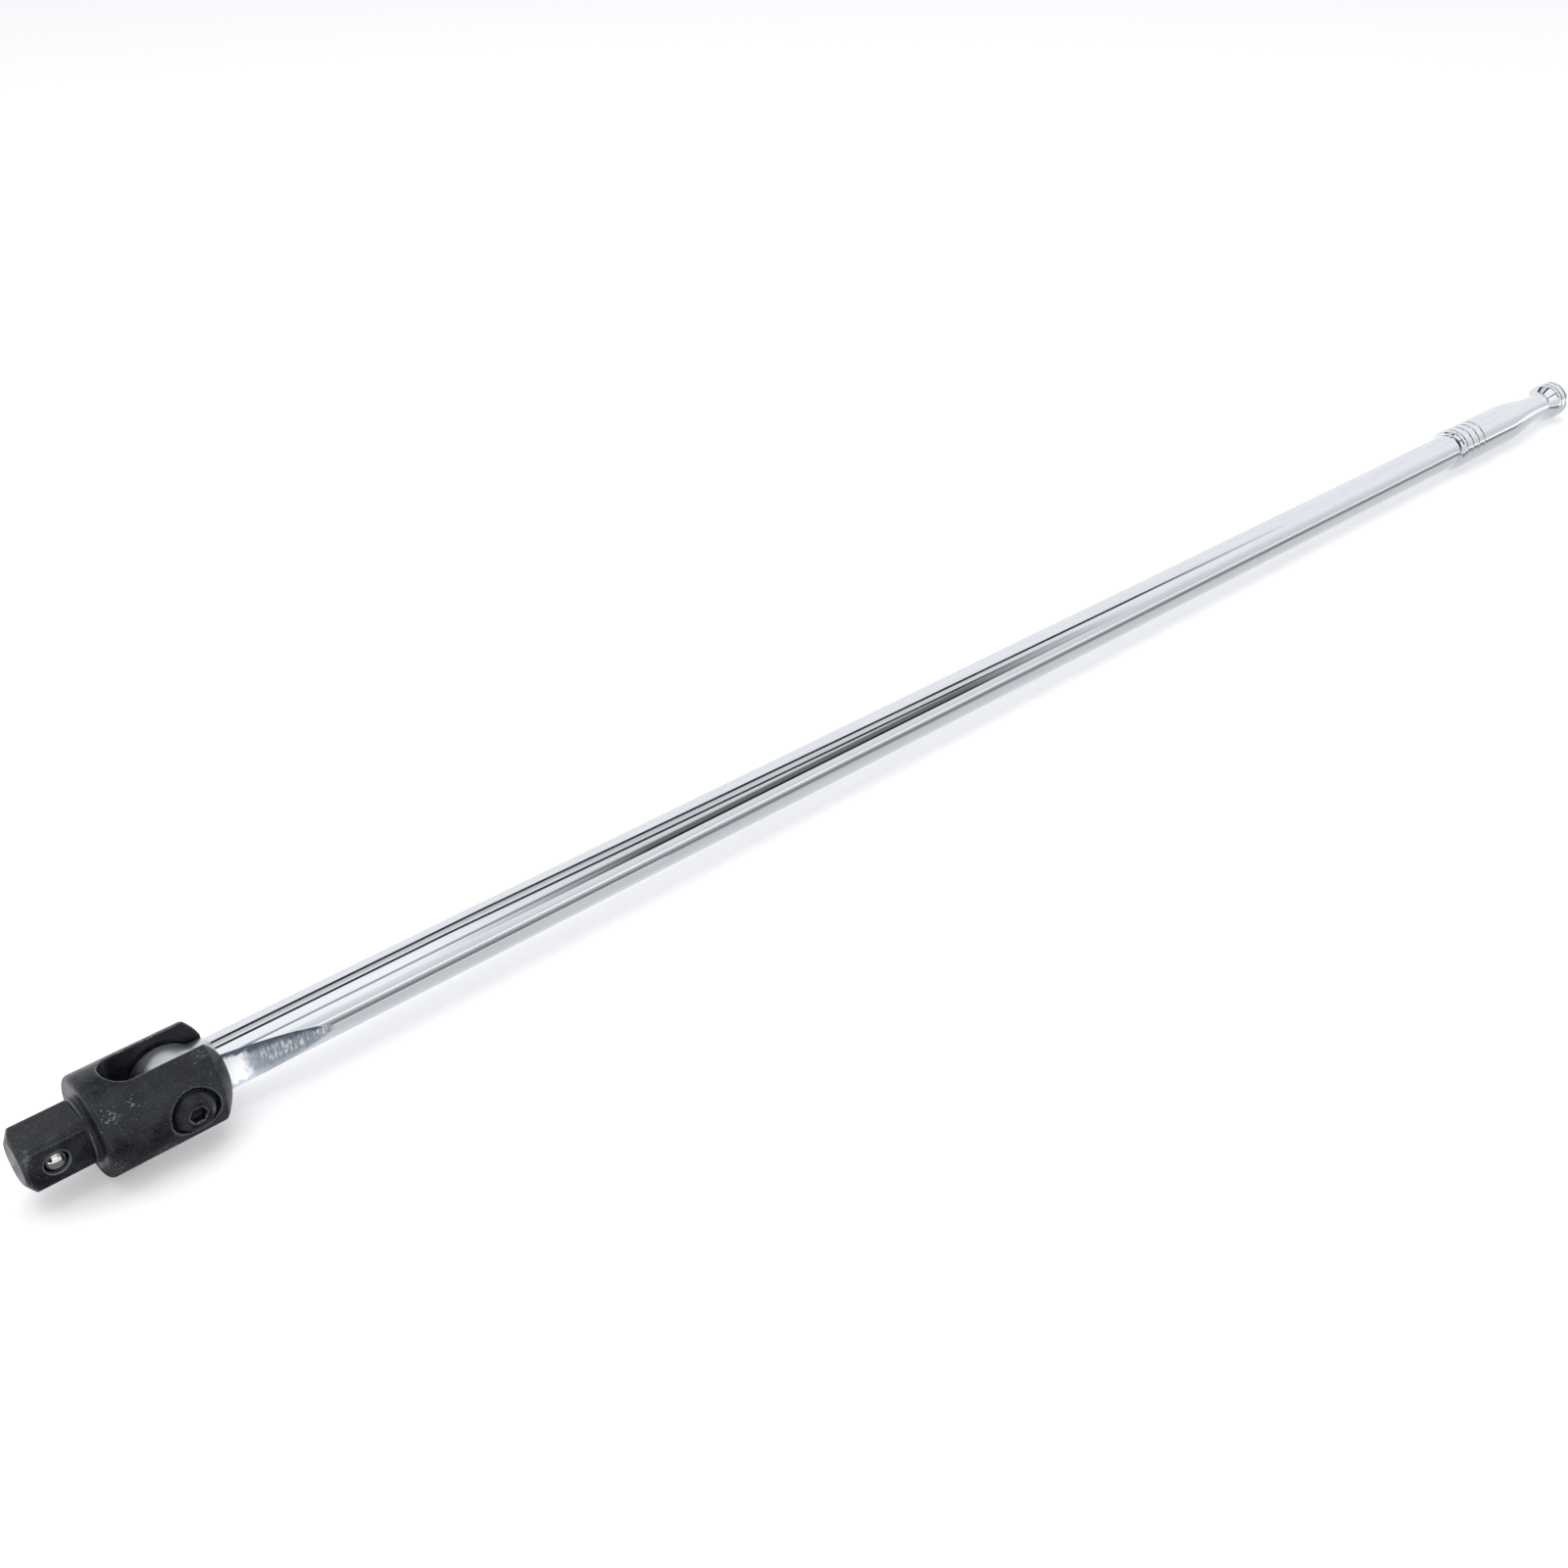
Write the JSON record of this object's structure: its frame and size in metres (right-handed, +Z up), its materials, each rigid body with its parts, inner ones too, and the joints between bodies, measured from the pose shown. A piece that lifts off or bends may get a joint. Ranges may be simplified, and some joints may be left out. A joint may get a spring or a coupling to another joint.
{
  "type": "breaker bar",
  "caption": "Long plain breaker bar: a square drive with a sprung ball on a hinged round head, a chromed round bar and a turned end grip.",
  "frame": {"origin": "centre of the flat end face of the drive square", "axes": "+X along the bar from the drive to the hand end, +Y along the hinge pivot, away from the screw's head, +Z up"},
  "size_m": [0.75, 0.0276, 0.0266],
  "materials": {
    "black_steel": "black phosphate, lightly oiled, satin",
    "chrome": "polished",
    "bare_steel": "bright"
  },
  "bodies": {
    "bar": {"handle_bar": "chrome", "end_grip": "chrome"},
    "head": {"drive_head": "black_steel", "pivot_screw": "black_steel", "friction_washer_near": "bare_steel", "friction_washer_far": "bare_steel", "detent_spring": "bare_steel"},
    "ball": {"detent_ball": "chrome"}
  },
  "joints": [
    {"name": "head_hinge", "type": "hinge", "parent": "bar", "child": "head", "pos_m": [0.0382, 0, 0], "axis": [0, 1, 0], "range_deg": [-110, 110]},
    {"name": "detent_press", "type": "slide", "parent": "head", "child": "ball", "axis": [0, 1, 0], "range_m": [0, 0.0007], "stiffness_N_per_m": 1500, "deforming": ["detent_spring"]}
  ]
}
